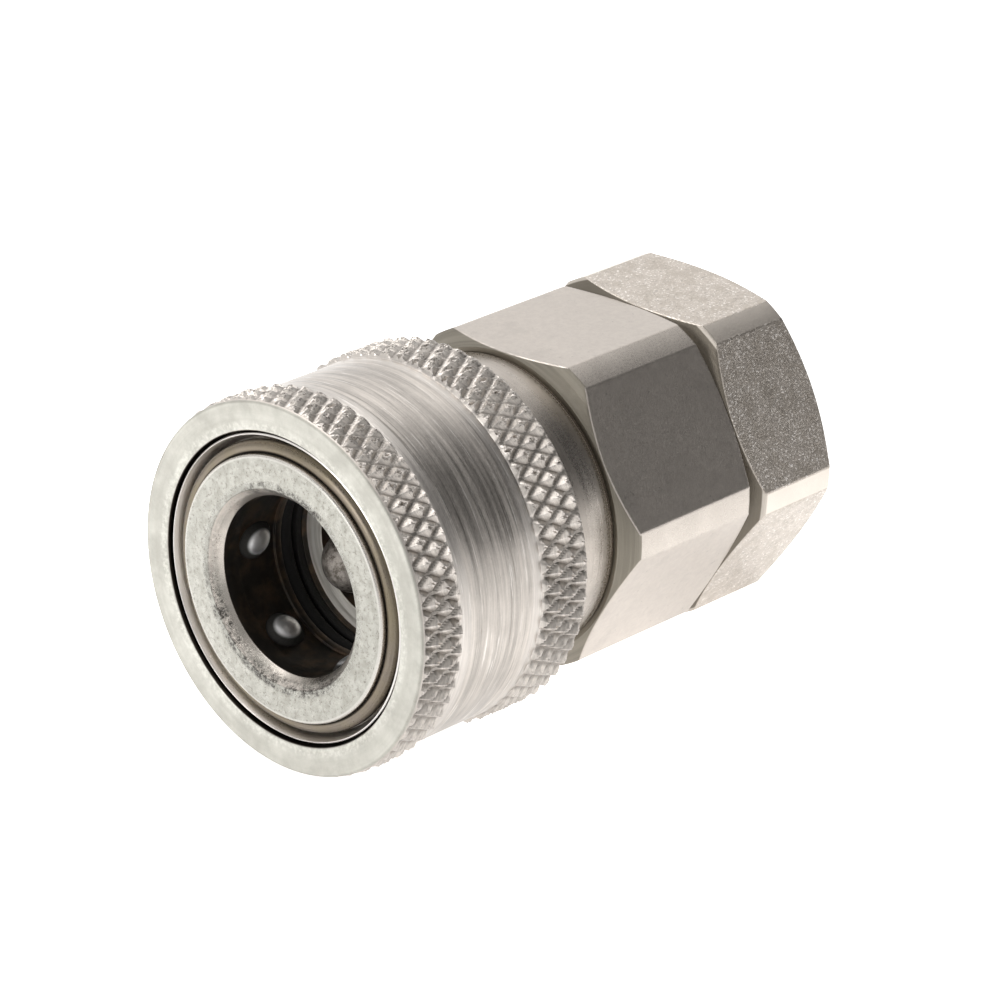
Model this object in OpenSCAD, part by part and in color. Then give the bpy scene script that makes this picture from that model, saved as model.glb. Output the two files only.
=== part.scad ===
// Quick disconnect coupler: the socket half of a ball-lock coupling with a poppet shut-off valve.
// The axis lies along X. The mating face looks to -X, the pipe port to +X, and +Z leaves the top hex flat.
// X = 0 is where the probe bore's straight wall starts, just behind its lead-in chamfer. Units are mm.

/* [Probe socket] */
// Diameter of the bore that takes the probe
probe_bore_d = 14.3; // [14.2:0.05:14.4]
// Length of the chamfer at the socket's mouth
lead_len = 0.95; // [0.8:0.05:1]
// Diameter of the mouth at the front face
mouth_d = 15.8; // [15.2:0.1:16.4]
// Depth of the socket, from the front face to its shoulder
socket_depth = 9.75; // [9.7:0.05:10]

/* [Locking balls] */
// Diameter of one ball
ball_d = 3.969; // [3.9:0.001:4]
// How far a locked ball stands into the bore
ball_proud = 0.65; // [0.5:0.05:0.7]
// Distance of the ball circle behind the front face
ball_back = 4.4; // [4.35:0.05:4.5]
// Angle of the first ball about +X, from +Y
ball_start = 4; // [0:1:59]

/* [Sleeve] */
// Diameter over the knurls
knurl_d = 30; // [29.6:0.1:31]
// Diameter of the smooth band between the knurls
band_d = 29; // [28.4:0.1:29.4]
// Length of the sleeve
sleeve_len = 18.3; // [18.1:0.1:18.5]
// Diameter of the sleeve's mouth
sleeve_mouth_d = 24.8; // [24.7:0.1:25.4]

/* [Body] */
// Diameter of the nose that carries the balls
nose_d = 21.16; // [21.1:0.02:21.2]
// Diameter of the smooth neck behind the sleeve
neck_d = 24.24; // [24.2:0.02:24.3]
// Size across the flats of the body's hex
body_af = 25.2; // [25.1:0.1:25.6]
// Diameter that truncates the corners of the body's hex
body_corner_d = 27.86; // [27.4:0.02:28.6]

/* [Adapter] */
// Size across the flats of the adapter's hex
adapter_af = 25.4; // [25.2:0.1:26]
// Diameter that truncates the corners of the adapter's hex
adapter_corner_d = 28.26; // [27.8:0.02:28.8]
// Clocking of the adapter's hex against the body's, as it was torqued up
adapter_turn = 3.6; // [0:0.1:30]
// Overall length from the front face to the port face
total_len = 48.15; // [47.8:0.05:49]
// Bore of the port thread (its minor diameter)
port_bore_d = 11.445; // [11:0.005:11.9]
// Depth of the port thread
port_depth = 12; // [9:0.5:12]

/* [Hidden] */
$fn = 96;
eps = 0.01;
run_gap = 0.05;

ball_count = 6;
ball_pitch_r = probe_bore_d / 2 - ball_proud + ball_d / 2;
ball_hole_r = ball_d / 2 + run_gap;

// Stations along the axis, all measured back from the front face.
front = -lead_len;
collar_front = front + 0.3;
collar_back = front + 1.9;
relief_start = front + 2.45;
land_start = front + 3.7;
relief_end = front + 6.35;
land_end = front + 6.6;
groove_start = front + 7;
groove_end = front + 9.3;
shoulder = front + socket_depth;
seat_start = shoulder + 1.15;
seat_end = seat_start + 1.5;
neck_start = front + 15;
neck_end = front + 23.5;
hex_start = front + 23.72;
guide_seat = front + 27.5;
spigot_start = front + 30;
hex_end = front + 38.25;
port_face = front + total_len;
port_bottom = port_face - port_depth;

// Radii.
bore_r = probe_bore_d / 2;
nose_r = nose_d / 2;
neck_r = neck_d / 2;
knurl_r = knurl_d / 2;
band_r = band_d / 2;
sleeve_mouth_r = sleeve_mouth_d / 2;
sleeve_bore_r = neck_r + run_gap;
land_r = nose_r + 0.1;
relief_r = bore_r + 0.2;
groove_r = 8.95;
seat_hole_r = 5.6;
seat_mouth_r = 6.9;
chamber_r = 8;
guide_r = 8.55;
spigot_r = 9.85;
stem_r = 1.9;
poppet_nose_r = 2.45;
poppet_head_r = 6.95;
port_r = port_bore_d / 2;
flow_r = 5;

// Wire of the snap ring, and the circle it lies on.
snap_wire_r = 0.62;
snap_pitch_r = nose_r + 0.32;
snap_x = front + 1.05;

// Springs.
sleeve_wire_d = 1.1;
sleeve_spring_r = 11.35;
valve_wire_d = 0.9;
valve_spring_r = 5;
poppet_back = front + 14.2;
spring_gap = 0.05;

// Seals.
probe_seal_r = 0.78;
probe_seal_pitch = bore_r + 0.86;
probe_seal_x = groove_start + 0.83;
poppet_seal_r = 0.55;
joint_seal_r = 0.45;
joint_seal_x = spigot_start + 2;

// A solid of revolution about X from [radius, x] points.
module turned(outline) {
    rotate([0, 90, 0]) rotate_extrude() polygon(outline);
}

// A ring of round wire about X.
module wire_ring(x, pitch_r, wire_r) {
    translate([x, 0, 0]) rotate([0, 90, 0]) rotate_extrude() translate([pitch_r, 0]) circle(r = wire_r);
}

// A plain tube or disc about X.
module tube(x0, x1, outer_r, inner_r) {
    turned([[inner_r, x0], [outer_r, x0], [outer_r, x1], [inner_r, x1]]);
}

// A hexagonal bar along X with flats at top and bottom before it is turned.
module hex_bar(x0, x1, across_flats, turn) {
    translate([x0, 0, 0]) rotate([turn, 0, 0]) rotate([0, 90, 0]) rotate([0, 0, 30])
        cylinder(d = across_flats / cos(30), h = x1 - x0, $fn = 6);
}

// The sphere on the axis whose surface is the slightly crowned chamfer between two [x, radius] points.
module crown(end_x, end_r, side_x, side_r) {
    centre = (side_x * side_x + side_r * side_r - end_x * end_x - end_r * end_r) / (2 * (side_x - end_x));
    translate([centre, 0, 0]) rotate([0, 90, 0]) sphere(r = norm([end_x - centre, end_r]));
}

// Closed coils joined by one straight run of the same wire.
module coil_spring(x0, x1, pitch_r, wire_d, coils) {
    step = (x1 - x0 - wire_d) / (coils - 1);
    for (i = [0 : coils - 1]) {
        wire_ring(x0 + wire_d / 2 + i * step, pitch_r, wire_d / 2);
    }
    translate([x0 + wire_d / 2, 0, pitch_r]) rotate([0, 90, 0])
        cylinder(d = wire_d * 0.8, h = x1 - x0 - wire_d);
}

// Places a child that points along +Y at one ball's station.
module at_ball(index) {
    translate([front + ball_back, 0, 0]) rotate([ball_start + index * 360 / ball_count, 0, 0]) children();
}

module sleeve() {
    color("silver") turned([
        [sleeve_mouth_r, front + 0.1],
        [sleeve_mouth_r + 0.1, front],
        [knurl_r - 0.4, front],
        [knurl_r - 0.2, front + 0.15],
        [knurl_r, front + 0.2],
        [knurl_r, front + 4.05],
        [band_r, front + 4.35],
        [band_r, front + 13.1],
        [knurl_r, front + 13.4],
        [knurl_r, front + 17.6],
        [knurl_r - 0.8, front + sleeve_len],
        [sleeve_bore_r + 0.2, front + sleeve_len],
        [sleeve_bore_r, front + sleeve_len - 0.2],
        [sleeve_bore_r, land_end],
        [land_r, land_end],
        [land_r, land_start],
        [sleeve_mouth_r - 0.5, land_start - 0.8],
        [sleeve_mouth_r - 0.5, collar_back + 0.07],
        [sleeve_mouth_r, collar_back + 0.07]
    ]);
}

module body_bar() {
    turned([
        [0, front],
        [nose_r - 0.15, front],
        [nose_r, front + 0.15],
        [nose_r, neck_start],
        [neck_r - 0.25, neck_start],
        [neck_r, neck_start + 0.25],
        [neck_r, neck_end - 0.14],
        [neck_r - 0.14, neck_end],
        [neck_r - 0.22, neck_end],
        [neck_r - 0.22, hex_start + eps],
        [0, hex_start + eps]
    ]);
    intersection() {
        hex_bar(hex_start, hex_end, body_af, 0);
        tube(hex_start - 1, hex_end + 1, body_corner_d / 2, 0);
        crown(hex_start, body_af / 2 - 0.1, hex_start + 1.04, body_corner_d / 2);
        crown(hex_end, body_af / 2 - 0.1, hex_end - 0.65, body_corner_d / 2);
    }
}

module body_bore() {
    turned([
        [0, front - 1],
        [mouth_d / 2, front - 1],
        [mouth_d / 2, front],
        [bore_r, 0],
        [bore_r, relief_start],
        [relief_r, relief_start],
        [relief_r, relief_end],
        [bore_r, relief_end],
        [bore_r, groove_start],
        [groove_r, groove_start],
        [groove_r, groove_end],
        [bore_r, groove_end],
        [bore_r, shoulder],
        [seat_hole_r, shoulder],
        [seat_hole_r, seat_start],
        [seat_mouth_r, seat_end],
        [chamber_r, seat_end],
        [chamber_r, guide_seat],
        [guide_r + run_gap, guide_seat],
        [guide_r + run_gap, spigot_start],
        [spigot_r + run_gap, spigot_start],
        [spigot_r + run_gap, hex_end + 1],
        [0, hex_end + 1]
    ]);
}

// A hole for one ball, whose spherical seat keeps the ball out of the bore.
module ball_pocket() {
    translate([0, ball_pitch_r, 0]) sphere(r = ball_hole_r);
    translate([0, ball_pitch_r, 0]) rotate([-90, 0, 0]) cylinder(r = ball_hole_r, h = 5);
}

module body() {
    color("lightsteelblue") difference() {
        body_bar();
        body_bore();
        wire_ring(snap_x, snap_pitch_r, snap_wire_r + 0.02);
        for (i = [0 : ball_count - 1]) at_ball(i) ball_pocket();
    }
}

module adapter() {
    color("slategray") difference() {
        union() {
            turned([
                [0, spigot_start],
                [spigot_r - 0.4, spigot_start],
                [spigot_r, spigot_start + 0.4],
                [spigot_r, joint_seal_x - 0.6],
                [spigot_r - 0.95, joint_seal_x - 0.6],
                [spigot_r - 0.95, joint_seal_x + 0.6],
                [spigot_r, joint_seal_x + 0.6],
                [spigot_r, hex_end + 1],
                [0, hex_end + 1]
            ]);
            intersection() {
                hex_bar(hex_end, port_face, adapter_af, adapter_turn);
                tube(hex_end - 1, port_face + 1, adapter_corner_d / 2, 0);
                crown(hex_end, adapter_af / 2 - 0.2, hex_end + 1.05, adapter_corner_d / 2);
                crown(port_face, adapter_af / 2 - 0.2, port_face - 0.95, adapter_corner_d / 2);
            }
        }
        turned([
            [0, spigot_start - 1],
            [flow_r + 1.8, spigot_start - 1],
            [flow_r + 1.8, spigot_start + 1],
            [flow_r, spigot_start + 3],
            [flow_r, port_bottom],
            [port_r, port_bottom],
            [port_r, port_face - 1.05],
            [port_r + 1.05, port_face],
            [port_r + 1.05, port_face + 1],
            [0, port_face + 1]
        ]);
    }
}

module snap_ring() {
    color("goldenrod") wire_ring(snap_x, snap_pitch_r, snap_wire_r);
}

// A cupped ring that traps the snap ring and stops the sleeve.
module stop_collar() {
    color("gainsboro") turned([
        [sleeve_mouth_r - 0.35, collar_front],
        [sleeve_mouth_r - 0.2, collar_front + 0.1],
        [sleeve_mouth_r - 0.2, collar_back],
        [nose_r + 0.02, collar_back],
        [nose_r + 0.02, snap_x + 0.6],
        [snap_pitch_r, snap_x + snap_wire_r + 0.02],
        [sleeve_mouth_r - 0.75, snap_x + snap_wire_r + 0.02]
    ]);
}

module sleeve_spring() {
    color("dimgray")
        coil_spring(land_end + spring_gap, neck_start - spring_gap, sleeve_spring_r, sleeve_wire_d, 5);
}

module ball(index) {
    color("white") at_ball(index) translate([0, ball_pitch_r, 0]) sphere(d = ball_d);
}

module probe_o_ring() {
    color("black") wire_ring(probe_seal_x, probe_seal_pitch, probe_seal_r);
}

module backup_ring() {
    color("ivory") tube(groove_end - 0.6, groove_end - 0.05, groove_r - 0.05, bore_r + 0.1);
}

// Distance between the seat cone and the poppet's cone, square to them, and the cone's direction.
seat_gap = 0.2;
seat_slant = norm([seat_mouth_r - seat_hole_r, seat_end - seat_start]);
seat_dx = (seat_end - seat_start) / seat_slant;
seat_dr = (seat_mouth_r - seat_hole_r) / seat_slant;
poppet_seal_x = (seat_start + seat_end) / 2 + seat_dr * (poppet_seal_r + run_gap);
poppet_seal_pitch = (seat_hole_r + seat_mouth_r) / 2 - seat_dx * (poppet_seal_r + run_gap);

module poppet() {
    cone_start = [seat_hole_r - seat_dx * seat_gap, seat_start + seat_dr * seat_gap];
    cone_end = [seat_mouth_r - seat_dx * seat_gap, seat_end + seat_dr * seat_gap];
    nose_x = front + 7.7;
    color("tan") {
        difference() {
            turned([
                [0, nose_x],
                [poppet_nose_r, nose_x],
                [poppet_nose_r, cone_start[1]],
                cone_start,
                cone_end,
                [poppet_head_r, cone_end[1] + 0.4],
                [poppet_head_r, poppet_back],
                [3.6, poppet_back],
                [3.6, poppet_back + 1.2],
                [stem_r, poppet_back + 1.6],
                [stem_r, front + 31.5],
                [0, front + 31.5]
            ]);
            wire_ring(poppet_seal_x, poppet_seal_pitch, poppet_seal_r + 0.02);
        }
        translate([nose_x, 0, 0]) sphere(r = poppet_nose_r);
    }
}

module poppet_o_ring() {
    color("black") wire_ring(poppet_seal_x, poppet_seal_pitch, poppet_seal_r);
}

module valve_spring() {
    color("dimgray")
        coil_spring(poppet_back + spring_gap, guide_seat - spring_gap, valve_spring_r, valve_wire_d, 7);
}

// A spider whose hub guides the poppet's stem while fluid passes between its legs.
module valve_guide() {
    color("darkkhaki") difference() {
        union() {
            tube(guide_seat, spigot_start - 0.02, guide_r, guide_r - 1.5);
            tube(guide_seat, spigot_start - 0.02, 3.4, stem_r);
            for (angle = [0, 120, 240]) {
                rotate([angle, 0, 0]) translate([guide_seat, 3, -0.9])
                    cube([spigot_start - 0.02 - guide_seat, guide_r - 4, 1.8]);
            }
        }
        tube(guide_seat - 1, spigot_start + 1, stem_r + run_gap, 0);
    }
}

module adapter_o_ring() {
    color("black") wire_ring(joint_seal_x, spigot_r - 0.45, joint_seal_r);
}

sleeve();
body();
adapter();
snap_ring();
stop_collar();
sleeve_spring();
ball(0);  // ball_1
ball(1);  // ball_2
ball(2);  // ball_3
ball(3);  // ball_4
ball(4);  // ball_5
ball(5);  // ball_6
probe_o_ring();
backup_ring();
poppet();
poppet_o_ring();
valve_spring();
valve_guide();
adapter_o_ring();
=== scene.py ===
"""Looks for the quick disconnect coupler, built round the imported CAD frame."""

import math

import bpy
import numpy as np
from mathutils import Matrix, Vector


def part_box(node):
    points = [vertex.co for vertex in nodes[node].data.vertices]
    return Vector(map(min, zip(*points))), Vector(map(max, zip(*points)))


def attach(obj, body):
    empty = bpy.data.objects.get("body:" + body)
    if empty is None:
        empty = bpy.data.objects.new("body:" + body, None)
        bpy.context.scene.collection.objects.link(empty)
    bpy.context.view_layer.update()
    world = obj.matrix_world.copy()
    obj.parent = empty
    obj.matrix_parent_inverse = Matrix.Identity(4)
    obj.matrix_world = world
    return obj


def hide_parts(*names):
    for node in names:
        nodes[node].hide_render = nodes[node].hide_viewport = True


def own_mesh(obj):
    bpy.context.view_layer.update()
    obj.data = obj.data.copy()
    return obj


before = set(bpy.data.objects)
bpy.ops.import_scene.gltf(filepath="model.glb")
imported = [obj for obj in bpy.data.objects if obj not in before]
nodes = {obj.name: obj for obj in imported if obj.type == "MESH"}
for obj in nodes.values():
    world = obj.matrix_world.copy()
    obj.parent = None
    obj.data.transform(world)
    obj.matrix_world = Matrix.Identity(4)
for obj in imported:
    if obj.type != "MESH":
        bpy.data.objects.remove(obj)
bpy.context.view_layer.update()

MM = 0.001
TAU = 2 * math.pi
rng = np.random.default_rng(7)

# Stations are in mm behind the sleeve's front face, and radii are in mm.
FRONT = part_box("sleeve")[0].x / MM
KNURL_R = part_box("sleeve")[1].z / MM
SLEEVE_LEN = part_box("sleeve")[1].x / MM - FRONT
BODY_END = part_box("body")[1].x / MM - FRONT
PORT_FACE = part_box("adapter")[1].x / MM - FRONT
SPIGOT_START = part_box("adapter")[0].x / MM - FRONT

# The body's nose, its groove for the snap ring, the neck that the sleeve slides over, and the front hex.
NOSE_R = 10.58
SNAP_X, SNAP_R, SNAP_WIRE_R = 1.05, 10.9, 0.62
NECK_START, NECK_END, NECK_R = 15.0, 23.5, 12.12
HEX_START = 23.72
BODY_FLAT_R, BODY_CORNER_R = 12.6, 13.93

# The socket's bore, its relief at the balls, the groove of its seal, and the valve's seat behind it.
MOUTH_R, BORE_R, BORE_START = 7.95, 7.15, 0.95
RELIEF_START, RELIEF_END, RELIEF_R = 2.45, 6.35, 7.35
SEAL_START, SEAL_END, SEAL_R = 7.0, 9.3, 8.95
SHOULDER, SEAT_HOLE_R = 9.75, 5.6
SEAT_START, SEAT_END, SEAT_MOUTH_R = 10.9, 12.4, 6.9
CHAMBER_R, GUIDE_SEAT, GUIDE_R = 8.0, 27.5, 8.6
SPIGOT_SEAT, SPIGOT_HOLE_R = 30.0, 9.9

# The adapter's spigot with the groove of its seal, its rear hex and its G 1/4 port.
SPIGOT_R = 9.85
JOINT_SEAL_START, JOINT_SEAL_END, JOINT_SEAL_R = 31.4, 32.6, 8.9
ADAPTER_FLAT_R, ADAPTER_CORNER_R, ADAPTER_TURN = 12.7, 14.13, 3.6
FLOW_R, FLOW_MOUTH_R, PORT_BOTTOM, PORT_MOUTH_R = 5.0, 6.8, 36.15, 6.84
THREAD_PITCH, THREAD_MINOR, THREAD_MAJOR = 1.337, 5.7225, 6.5785


# ---------------------------------------------------------------- mesh tools

def make_object(name, verts, faces, angle=30):
    """A mesh object from points in mm, smooth but for edges sharper than the angle."""
    mesh = bpy.data.meshes.new(name)
    mesh.from_pydata((np.asarray(verts, float) * MM).tolist(), [], faces)
    mesh.validate()
    mesh.polygons.foreach_set("use_smooth", [True] * len(mesh.polygons))
    mesh.set_sharp_from_angle(angle=math.radians(angle))
    mesh.update()
    obj = bpy.data.objects.new(name, mesh)
    bpy.context.scene.collection.objects.link(obj)
    return obj


def fillet(points, steps=3, closed=True):
    """Rounds the corners of (x, r, radius) points into (x, r) points. No radius means a sharp corner."""
    out = []
    n = len(points)
    for i in range(n):
        p = np.array(points[i][:2], float)
        radius = points[i][2] if len(points[i]) > 2 else 0.0
        if radius <= 0 or (not closed and i in (0, n - 1)):
            out.append(tuple(p))
            continue
        a = np.array(points[i - 1][:2], float) - p
        b = np.array(points[(i + 1) % n][:2], float) - p
        la, lb = np.linalg.norm(a), np.linalg.norm(b)
        a, b = a / la, b / lb
        angle = math.acos(max(-1, min(1, float(a @ b))))
        if angle > math.radians(175):
            out.append(tuple(p))
            continue
        reach = min(radius / math.tan(angle / 2), 0.48 * la, 0.48 * lb)
        radius = reach * math.tan(angle / 2)
        middle = a + b
        centre = p + middle / np.linalg.norm(middle) * radius / math.sin(angle / 2)
        start, end = p + a * reach - centre, p + b * reach - centre
        turn = math.atan2(start[0] * end[1] - start[1] * end[0], float(start @ end))
        for k in range(steps + 1):
            c, s = math.cos(turn * k / steps), math.sin(turn * k / steps)
            out.append((centre[0] + c * start[0] - s * start[1],
                        centre[1] + s * start[0] + c * start[1]))
    return out


def swept(name, rows, thetas, angle=30, diagonals=None):
    """A closed ring of rows round X. Each row is (x, r), where r is one number or one for each angle.

    diagonals maps a row to the cells after it that are split the other way.
    """
    count = len(thetas)
    c, s = np.cos(thetas), np.sin(thetas)
    verts = np.zeros((len(rows), count, 3))
    for k, (x, r) in enumerate(rows):
        verts[k, :, 0] = FRONT + x
        verts[k, :, 1] = r * c
        verts[k, :, 2] = r * s
    faces = []
    for k in range(len(rows)):
        k2 = (k + 1) % len(rows)
        cut = diagonals.get(k) if diagonals else None
        for i in range(count):
            i2 = (i + 1) % count
            a, b = k * count + i, k * count + i2
            d, e = k2 * count + i, k2 * count + i2
            if cut is None:
                faces.append((a, b, e, d))
            elif cut[i]:
                faces += [(a, b, d), (b, e, d)]
            else:
                faces += [(a, b, e), (a, e, d)]
    return make_object(name, verts.reshape(-1, 3), faces, angle)


def turned(name, points, count=192, steps=3, angle=30):
    """A solid of revolution from closed (x, r, fillet) points; a run on the axis closes itself."""
    profile = fillet(points, steps)
    if min(r for _, r in profile) > 1e-6:
        return swept(name, profile, np.arange(count) * TAU / count, angle)
    first = next(i for i in range(len(profile))
                 if profile[i][1] < 1e-6 and profile[i - 1][1] < 1e-6)
    profile = profile[first:] + profile[:first]
    inner = [p for p in profile if p[1] > 1e-6]
    verts = [(FRONT + profile[0][0], 0, 0)]
    for x, r in inner:
        verts += [(FRONT + x, r * math.cos(TAU * i / count), r * math.sin(TAU * i / count))
                  for i in range(count)]
    verts.append((FRONT + profile[-1][0], 0, 0))
    faces = [(0, 1 + (i + 1) % count, 1 + i) for i in range(count)]
    for k in range(len(inner) - 1):
        a, b = 1 + k * count, 1 + (k + 1) * count
        faces += [(a + i, a + (i + 1) % count, b + (i + 1) % count, b + i) for i in range(count)]
    last, tip = 1 + (len(inner) - 1) * count, len(verts) - 1
    faces += [(last + i, last + (i + 1) % count, tip) for i in range(count)]
    return make_object(name, verts, faces, angle)


def tube_along(name, path, wire_r, sides=20):
    """Round wire along a path of points in mm, with slightly rounded ends."""
    path = np.asarray(path, float)
    tangent = np.gradient(path, axis=0)
    tangent /= np.linalg.norm(tangent, axis=1)[:, None]
    outward = path * [0, 1, 1]
    outward -= tangent * np.sum(outward * tangent, axis=1)[:, None]
    outward /= np.linalg.norm(outward, axis=1)[:, None]
    across = np.cross(tangent, outward)
    size = np.ones(len(path))
    size[[0, -1]] = 0.8
    a = np.arange(sides) * TAU / sides
    ring = outward[:, None] * np.cos(a)[None, :, None] + across[:, None] * np.sin(a)[None, :, None]
    verts = (path[:, None] + ring * (wire_r * size)[:, None, None]).reshape(-1, 3)
    faces = []
    for k in range(len(path) - 1):
        p, q = k * sides, (k + 1) * sides
        faces += [(p + i, p + (i + 1) % sides, q + (i + 1) % sides, q + i) for i in range(sides)]
    faces.append(tuple(reversed(range(sides))))
    faces.append(tuple((len(path) - 1) * sides + i for i in range(sides)))
    return make_object(name, verts, faces, 40)


def smooth_min(a, b, width):
    """The smaller of two values, with a rounded change-over."""
    h = np.clip(0.5 + 0.5 * (b - a) / width, 0, 1)
    return b * (1 - h) + a * h - width * h * (1 - h)


def smoothstep(a, b, x):
    """0 before a and 1 after b, with a soft rise between."""
    t = np.clip((x - a) / (b - a), 0, 1)
    return t * t * (3 - 2 * t)


def hex_angles(turn_deg, flat_r, corner_r):
    """Angles round X in radians, closest together where the flats of a hex bar meet its corners."""
    meet = math.degrees(math.acos(flat_r / corner_r))
    close = np.array([-0.5, -0.25, 0, 0.25, 0.5])
    over_flat, over_corner = np.arange(-24, 24, 1.5), np.arange(24, 36, 0.6)
    sector = np.concatenate([over_flat, over_corner, meet + close, 60 - meet + close])
    sector = np.unique(np.round(sector, 4))
    return np.radians(np.concatenate([sector + 60 * k + 90 + turn_deg for k in range(6)]))


def hex_radius(thetas, flat_r, corner_r, turn_deg, edge=0.05):
    """Radius of a round-cornered hex bar at each angle."""
    step = math.radians(60)
    delta = (thetas - math.radians(90 + turn_deg) + step / 2) % step - step / 2
    return smooth_min(flat_r / np.cos(delta), corner_r, edge)


# ---------------------------------------------------------------- sleeve

KNURL_COUNT = 60          # diamonds round the sleeve
CELLS = 12                # mesh cells along one diamond
KNURL_DEPTH = 0.56
KNURL_ANGLE = 30          # degrees between a diamond's groove and the axis
PITCH_S = TAU * KNURL_R / KNURL_COUNT
PITCH_X = PITCH_S / math.tan(math.radians(KNURL_ANGLE))
BAND_R = 14.5
FRONT_EDGE_R, REAR_EDGE_R = 14.66, 14.2
SLEEVE_MOUTH_R = 12.4
COLUMNS = KNURL_COUNT * CELLS
SLEEVE_THETAS = np.arange(COLUMNS) * TAU / COLUMNS
REAR_EDGE_X = 18.24
# Each knurl has its diamonds, the rows of the slopes beside them, and the outline that its points are cut to.
KNURLS = (
    {"start": 0.32, "end": 4.05, "before": [], "after": [4.14, 4.22, 4.30, 4.38],
     "outline_x": (0.0, 0.85, 4.05, 4.38), "outline_r": (FRONT_EDGE_R, KNURL_R, KNURL_R, BAND_R)},
    {"start": 13.4, "end": 17.6, "before": [13.05, 13.17, 13.29],
     "after": [17.7, 17.85, 18.0, 18.15, REAR_EDGE_X],
     "outline_x": (13.05, 13.4, 17.55, SLEEVE_LEN), "outline_r": (BAND_R, KNURL_R, KNURL_R, REAR_EDGE_R)},
)


def knurl_row(x, start, tips, wobble):
    """Radius of the knurled surface at each angle, for the station x.

    Every diamond is cut off flat, lower where the sleeve is most worn, with a pit and torn metal on its flat.
    """
    i = np.arange(COLUMNS)
    j = (x - start) / PITCH_X * CELLS
    a, b = (i + j) / CELLS, (i - j) / CELLS
    from_groove_a = 1 - np.abs(2 * (a % 1) - 1)
    from_groove_b = 1 - np.abs(2 * (b % 1) - 1)
    low = np.clip(np.minimum((from_groove_a - 0.2) / 0.8, (from_groove_b - 0.02) / 0.98), 0, 1)
    tip = tips[np.floor(a).astype(int) % KNURL_COUNT, np.floor(b).astype(int) % KNURL_COUNT]
    up = np.sin(SLEEVE_THETAS)
    flat = 0.86 - 0.22 * np.maximum(up, 0) - 0.08 * tip
    pit = np.clip((low - flat - 0.06) / (0.94 - flat), 0, 1) * tip
    height = smooth_min(low, flat, 0.05) - (0.3 + 0.6 * smoothstep(0.3, 0.9, up)) * pit
    torn = 0.2 + (1.2 + 4.0 * smoothstep(0.2, 0.8, np.abs(up))) * smoothstep(flat - 0.2, flat, low)
    return KNURL_R - 0.01 - KNURL_DEPTH / 0.85 * (flat - height) + wobble * torn


def knurl_rows(knurl, first_row):
    """Rows over one knurl, and the cells whose diagonal follows the other groove."""
    made, diagonals = [], {}
    start, end = knurl["start"], knurl["end"]
    tips = rng.uniform(0.25, 1.0, (KNURL_COUNT, KNURL_COUNT))
    diamonds = list(np.arange(start, end + 0.01, PITCH_X / CELLS))
    for x in knurl["before"] + diamonds + knurl["after"]:
        wobble = rng.normal(0, 0.007, COLUMNS)
        beside_band = x < start or end + 0.02 < x < KNURLS[1]["start"]
        lowest = BAND_R if beside_band else KNURL_R - KNURL_DEPTH
        limit = np.interp(x, knurl["outline_x"], knurl["outline_r"])
        r = np.maximum(knurl_row(x, start, tips, wobble), lowest)
        if start <= x <= end:
            step = int(round((x - start) / PITCH_X * CELLS))
            diagonals[first_row + len(made)] = (np.arange(COLUMNS) + step + 1) % CELLS == 0
        made.append((x, smooth_min(r, np.full(COLUMNS, limit), 0.05)))
    return made, diagonals


def sleeve_rows():
    """The sleeve's rows from its mouth, over both knurls and back through its bore."""
    rows = fillet([(0.14, SLEEVE_MOUTH_R, 0.03), (0.05, SLEEVE_MOUTH_R + 0.1, 0.12), (0.0, 13.1, 0.6),
                   (0.0, 14.68, 0.2), (0.25, 14.76, 0.05)], 4, closed=False)
    front, front_diagonals = knurl_rows(KNURLS[0], len(rows))
    rows += front
    for x in (4.5, 4.8, 5.3, 6.5, 8.7, 10.9, 12.0, 12.5, 12.9):
        rows.append((x, BAND_R + 0.03 * smoothstep(5.6, 4.7, x) + 0.03 * smoothstep(12.1, 12.9, x)))
    rear, rear_diagonals = knurl_rows(KNURLS[1], len(rows))
    rows += rear
    bore_r, land_r, pocket_r = 12.17, 10.68, 11.9
    bore = fillet([
        (REAR_EDGE_X, REAR_EDGE_R), (SLEEVE_LEN, 14.12, 0.1),
        (SLEEVE_LEN, bore_r + 0.2, 0.1), (SLEEVE_LEN - 0.2, bore_r, 0.05),
        (6.6, bore_r, 0.1), (6.6, land_r, 0.1), (3.7, land_r, 0.1), (2.9, pocket_r, 0.1),
        (1.97, pocket_r, 0.03), (1.97, SLEEVE_MOUTH_R, 0.03),
    ], 3, closed=False)
    return rows + bore[1:], {**front_diagonals, **rear_diagonals}


outline, split_cells = sleeve_rows()
sleeve = swept("coupler_sleeve", outline, SLEEVE_THETAS, 24, split_cells)
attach(sleeve, "sleeve")
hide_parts("sleeve")


# ---------------------------------------------------------------- body and adapter

def hex_rows(thetas, flat_r, corner_r, turn, start, end, front_len, rear_len):
    """Rows over a hex with a conical chamfer turned on each end."""
    fine_front = np.arange(start, start + front_len + 0.3, 0.05)
    fine_rear = np.arange(end - rear_len - 0.3, end + 0.001, 0.05)
    middle = np.linspace(fine_front[-1] + 0.3, fine_rear[0] - 0.3, 9)
    stations = np.concatenate([fine_front, middle, fine_rear])
    stations[-1] = end
    bar = hex_radius(thetas, flat_r, corner_r, turn)
    base = flat_r - 0.12
    made = []
    for x in stations:
        cone = min(base + (x - start) / front_len * (corner_r - base),
                   base + (end - x) / rear_len * (corner_r - base))
        made.append((x, smooth_min(bar, np.full(len(thetas), cone), 0.06)))
    return made


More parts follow.
